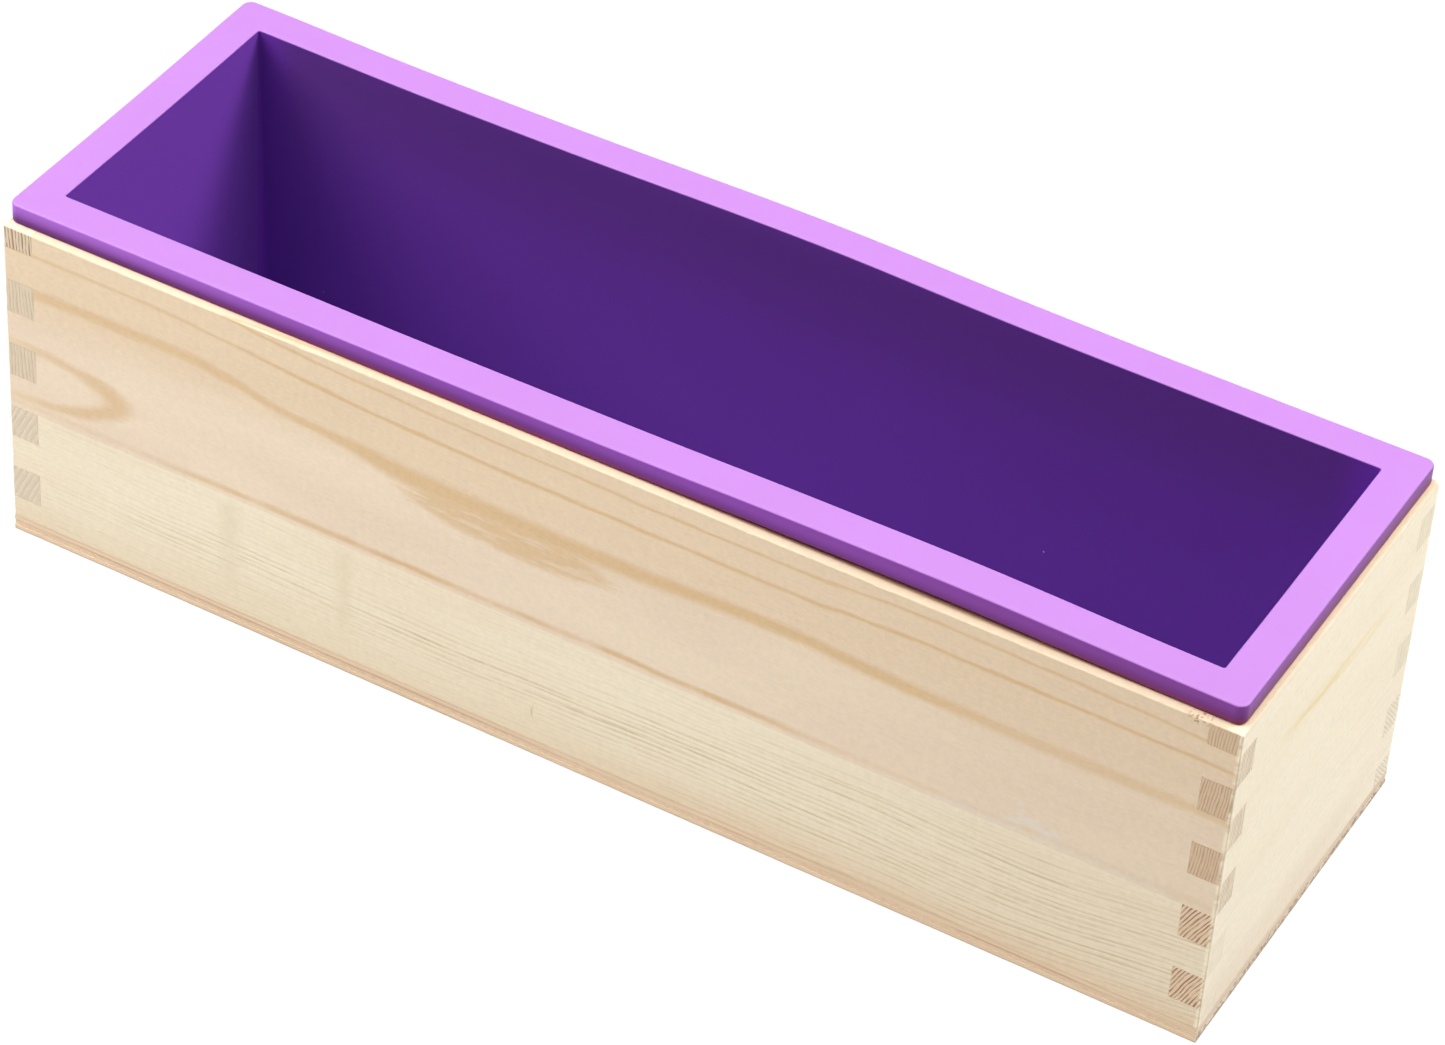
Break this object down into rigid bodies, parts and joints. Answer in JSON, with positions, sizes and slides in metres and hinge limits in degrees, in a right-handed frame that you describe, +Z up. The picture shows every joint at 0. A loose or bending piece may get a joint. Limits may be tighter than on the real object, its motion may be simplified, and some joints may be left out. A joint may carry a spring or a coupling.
{
  "type": "soap loaf mould",
  "caption": "Long finger-jointed pine box with a lift-out silicone liner whose flat flange rests on the rim, for casting a loaf of soap.",
  "frame": {"origin": "centre of the footprint, on the bottom board's resting face", "axes": "+X along the loaf, +Y from the front board to the back board, +Z up out of the cavity's mouth"},
  "size_m": [0.28, 0.089, 0.085],
  "materials": {
    "pine": "bare sanded pine, straight to cathedral grain, no varnish",
    "plywood": "bare three-ply board, pinkish face veneer, rough sawn edges",
    "brad_wire": "bright galvanised brad wire",
    "silicone": "smooth satin purple silicone rubber"
  },
  "bodies": {
    "box": {"front_upper_stave": "pine", "front_lower_stave": "pine", "back_upper_stave": "pine", "back_lower_stave": "pine", "left_end_upper_stave": "pine", "left_end_lower_stave": "pine", "right_end_upper_stave": "pine", "right_end_lower_stave": "pine", "bottom_board": "plywood", "bottom_brads": "brad_wire"},
    "liner": {"silicone_liner": "silicone"}
  },
  "joints": [
    {"name": "liner_lift", "type": "slide", "parent": "box", "child": "liner", "axis": [0, 0, 1], "range_m": [0, 0.09]}
  ]
}
